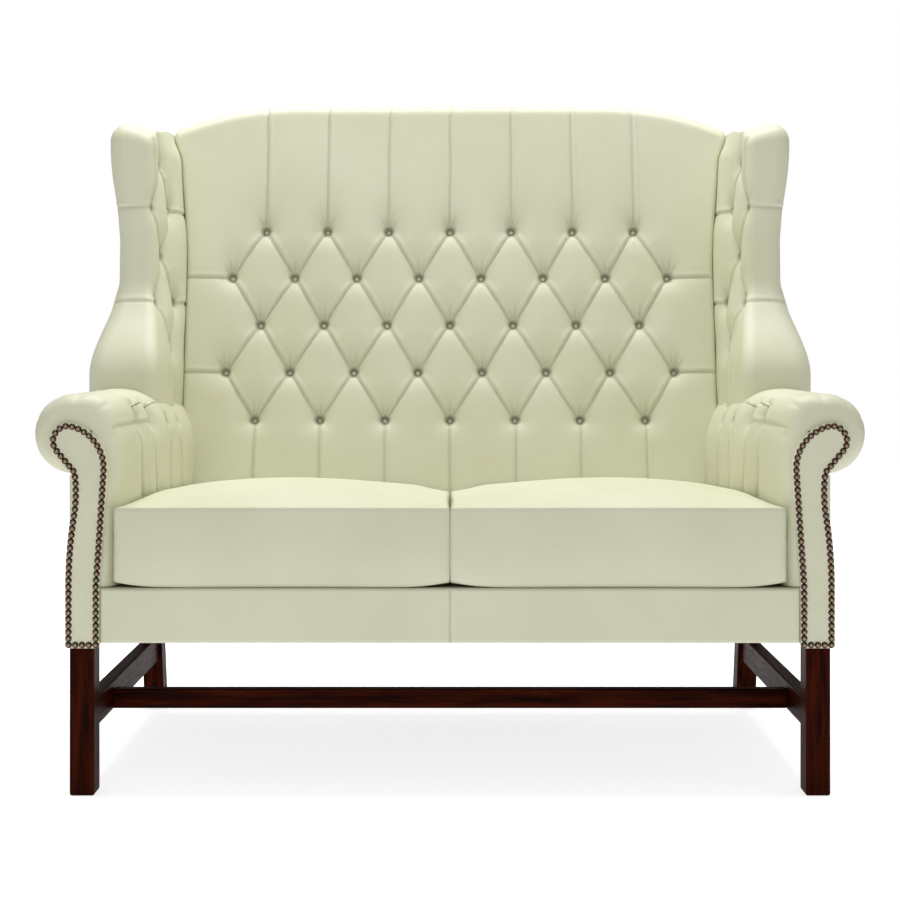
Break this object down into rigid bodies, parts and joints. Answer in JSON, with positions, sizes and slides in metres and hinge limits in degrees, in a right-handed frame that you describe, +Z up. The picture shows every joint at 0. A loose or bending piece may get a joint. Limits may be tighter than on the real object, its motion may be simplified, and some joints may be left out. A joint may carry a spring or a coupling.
{
  "type": "wing chesterfield sofa",
  "caption": "High-back wing sofa with deep-buttoned back, scroll arms edged in nails, loose seat cushions and square legs joined by stretchers.",
  "frame": {"origin": "centre of the footprint, on the floor under the feet", "axes": "+X along the width towards the viewer's right, +Y from the front of the seat to the back, +Z up"},
  "size_m": [1.369, 0.7964, 1.2326],
  "materials": {
    "hide": "pale ivory hide with a soft satin sheen",
    "mahogany": "very dark red-brown polish",
    "frame_wood": "raw beech",
    "nails": "antique dark bronze",
    "webbing": "woven elastic strap",
    "lining": "plain lining cloth",
    "foam": "open cushion foam",
    "zip": "matt coil zip"
  },
  "bodies": {
    "sofa_frame": {"front_leg_left": "mahogany", "front_leg_right": "mahogany", "rear_leg_left": "mahogany", "rear_leg_right": "mahogany", "side_stretcher_left": "mahogany", "side_stretcher_right": "mahogany", "cross_stretcher": "mahogany", "front_seat_rail": "frame_wood", "rear_seat_rail": "frame_wood", "side_seat_rail_left": "frame_wood", "side_seat_rail_right": "frame_wood", "centre_seat_rail": "frame_wood", "corner_blocks": "frame_wood", "arm_post_left": "frame_wood", "arm_post_right": "frame_wood", "arm_rail_left": "frame_wood", "arm_rail_right": "frame_wood", "lower_arm_rail_left": "frame_wood", "lower_arm_rail_right": "frame_wood", "back_post_left": "frame_wood", "back_post_right": "frame_wood", "back_stile_left": "frame_wood", "back_stile_right": "frame_wood", "crest_rail": "frame_wood", "lower_back_rail": "frame_wood", "wing_post_left": "frame_wood", "wing_post_right": "frame_wood", "wing_rail_left": "frame_wood", "wing_rail_right": "frame_wood", "seat_webbing": "webbing", "back_webbing": "webbing", "seat_platform": "lining", "dust_cover": "lining", "front_border": "hide", "outside_arm_left": "hide", "outside_arm_right": "hide", "outside_back": "hide", "outside_wing_left": "hide", "outside_wing_right": "hide", "arm_facing_left": "hide", "arm_facing_right": "hide", "arm_pad_left": "hide", "arm_pad_right": "hide", "wing_pad_left": "hide", "wing_pad_right": "hide", "back_pad": "hide", "arm_buttons_left": "hide", "arm_buttons_right": "hide", "wing_buttons_left": "hide", "wing_buttons_right": "hide", "back_buttons": "hide", "nail_trim_left": "nails", "nail_trim_right": "nails"},
    "cushion_left": {"seat_cushion_cover_left": "hide", "seat_cushion_core_left": "foam", "seat_cushion_zip_left": "zip"},
    "cushion_right": {"seat_cushion_cover_right": "hide", "seat_cushion_core_right": "foam", "seat_cushion_zip_right": "zip"}
  },
  "joints": [
    {"name": "cushion_left_lift", "type": "slide", "parent": "sofa_frame", "child": "cushion_left", "axis": [0, -0.9659, 0.2588], "range_m": [0, 0.55]},
    {"name": "cushion_right_lift", "type": "slide", "parent": "sofa_frame", "child": "cushion_right", "axis": [0, -0.9659, 0.2588], "range_m": [0, 0.55]}
  ]
}
